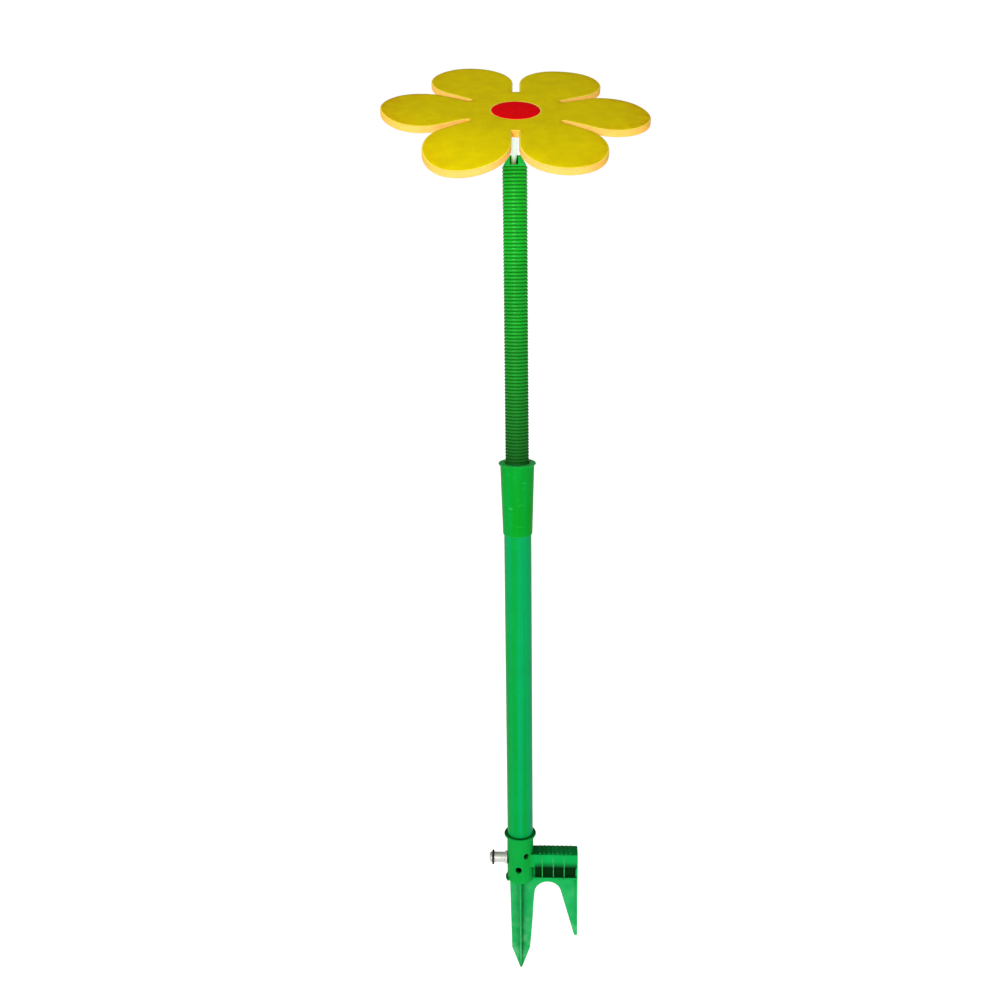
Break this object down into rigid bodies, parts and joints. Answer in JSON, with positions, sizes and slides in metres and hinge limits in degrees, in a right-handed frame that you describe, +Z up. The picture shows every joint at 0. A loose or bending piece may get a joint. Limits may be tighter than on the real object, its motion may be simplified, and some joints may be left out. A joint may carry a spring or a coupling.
{
  "type": "dancing flower lawn sprinkler",
  "caption": "Lawn sprinkler with a foam flower on a soft neck and a flexible corrugated hose, on a straight tube and a two-pronged ground stake with a side hose inlet.",
  "frame": {"origin": "on the stem's axis at the hub's underside, which is the soil line when the stake is pushed in", "axes": "+Z up along the stem, +X towards the foot step and second prong, -Y to the front, where the flower leans; -X to the hose inlet"},
  "size_m": [0.28, 0.2408, 1.11],
  "materials": {
    "stake_green": "satin",
    "tube_green": "satin",
    "collar_green": "satin",
    "plug_green": "satin",
    "corrugated_green": "gloss",
    "soft_hose": "satin",
    "white_plastic": "satin",
    "nipple_grey": "satin",
    "seal_rubber": "matte",
    "clamp_steel": "satin",
    "foam_yellow": "matte",
    "foam_red": "matte"
  },
  "bodies": {
    "stake": {"ground_stake": "stake_green", "inlet_nipple": "nipple_grey", "inlet_o_ring": "seal_rubber", "inlet_gasket": "seal_rubber", "inlet_elbow": "white_plastic", "lower_hose_clamp": "clamp_steel", "extension_tube": "tube_green", "reducer_collar": "collar_green", "hose_clip": "white_plastic", "lower_hose_plug": "plug_green", "hose_segment_0": "corrugated_green", "inner_hose_0": "soft_hose"},
    "hose_1": {"hose_segment_1": "corrugated_green", "inner_hose_1": "soft_hose"},
    "hose_2": {"hose_segment_2": "corrugated_green", "inner_hose_2": "soft_hose"},
    "hose_3": {"hose_segment_3": "corrugated_green", "inner_hose_3": "soft_hose"},
    "hose_4": {"hose_segment_4": "corrugated_green", "inner_hose_4": "soft_hose"},
    "hose_5": {"hose_segment_5": "corrugated_green", "inner_hose_5": "soft_hose"},
    "hose_6": {"hose_segment_6": "corrugated_green", "inner_hose_6": "soft_hose"},
    "hose_7": {"hose_segment_7": "corrugated_green", "inner_hose_7": "soft_hose"},
    "hose_8": {"hose_segment_8": "corrugated_green", "inner_hose_8": "soft_hose", "hose_end_plug": "plug_green"},
    "neck": {"neck_tube": "soft_hose", "nozzle_body": "white_plastic", "nozzle_clamp": "clamp_steel", "retaining_washer": "clamp_steel", "retaining_screw": "clamp_steel"},
    "flower": {"swivel_bush": "white_plastic", "flower_petals": "foam_yellow", "flower_centre": "foam_red"}
  },
  "joints": [
    {"name": "hose_bend_x_1", "type": "hinge", "parent": "stake", "child": "hose_1", "pos_m": [0, 0, 0.55711], "axis": [1, 0, 0], "range_deg": [-12, 12], "stiffness_Nm_per_rad": 6},
    {"name": "hose_bend_y_1", "type": "hinge", "parent": "hose_1", "child": "hose_2", "pos_m": [0, 0, 0.59511], "axis": [0, 1, 0], "range_deg": [-12, 12], "stiffness_Nm_per_rad": 6},
    {"name": "hose_bend_x_2", "type": "hinge", "parent": "hose_2", "child": "hose_3", "pos_m": [0, 0, 0.63311], "axis": [1, 0, 0], "range_deg": [-12, 12], "stiffness_Nm_per_rad": 6},
    {"name": "hose_bend_y_2", "type": "hinge", "parent": "hose_3", "child": "hose_4", "pos_m": [0, 0, 0.67111], "axis": [0, 1, 0], "range_deg": [-12, 12], "stiffness_Nm_per_rad": 6},
    {"name": "hose_bend_x_3", "type": "hinge", "parent": "hose_4", "child": "hose_5", "pos_m": [0, 0, 0.70911], "axis": [1, 0, 0], "range_deg": [-12, 12], "stiffness_Nm_per_rad": 6},
    {"name": "hose_bend_y_3", "type": "hinge", "parent": "hose_5", "child": "hose_6", "pos_m": [0, 0, 0.74711], "axis": [0, 1, 0], "range_deg": [-12, 12], "stiffness_Nm_per_rad": 6},
    {"name": "hose_bend_x_4", "type": "hinge", "parent": "hose_6", "child": "hose_7", "pos_m": [0, 0, 0.78511], "axis": [1, 0, 0], "range_deg": [-12, 12], "stiffness_Nm_per_rad": 6},
    {"name": "hose_bend_y_4", "type": "hinge", "parent": "hose_7", "child": "hose_8", "pos_m": [0, 0, 0.82311], "axis": [0, 1, 0], "range_deg": [-12, 12], "stiffness_Nm_per_rad": 6},
    {"name": "neck_nod", "type": "hinge", "parent": "hose_8", "child": "neck", "pos_m": [0, 0, 0.87061], "axis": [1, 0, 0], "range_deg": [-20, 20], "stiffness_Nm_per_rad": 2},
    {"name": "flower_spin", "type": "hinge", "parent": "neck", "child": "flower", "pos_m": [0.00199, -0.02143, 0.92231], "axis": [0.0355, -0.3827, 0.9232], "continuous": true}
  ],
  "couplings": [
    {"joint": "hose_bend_x_2", "follows": "hose_bend_x_1", "ratio": 1},
    {"joint": "hose_bend_y_2", "follows": "hose_bend_y_1", "ratio": 1},
    {"joint": "hose_bend_x_3", "follows": "hose_bend_x_1", "ratio": 1},
    {"joint": "hose_bend_y_3", "follows": "hose_bend_y_1", "ratio": 1},
    {"joint": "hose_bend_x_4", "follows": "hose_bend_x_1", "ratio": 1},
    {"joint": "hose_bend_y_4", "follows": "hose_bend_y_1", "ratio": 1}
  ]
}
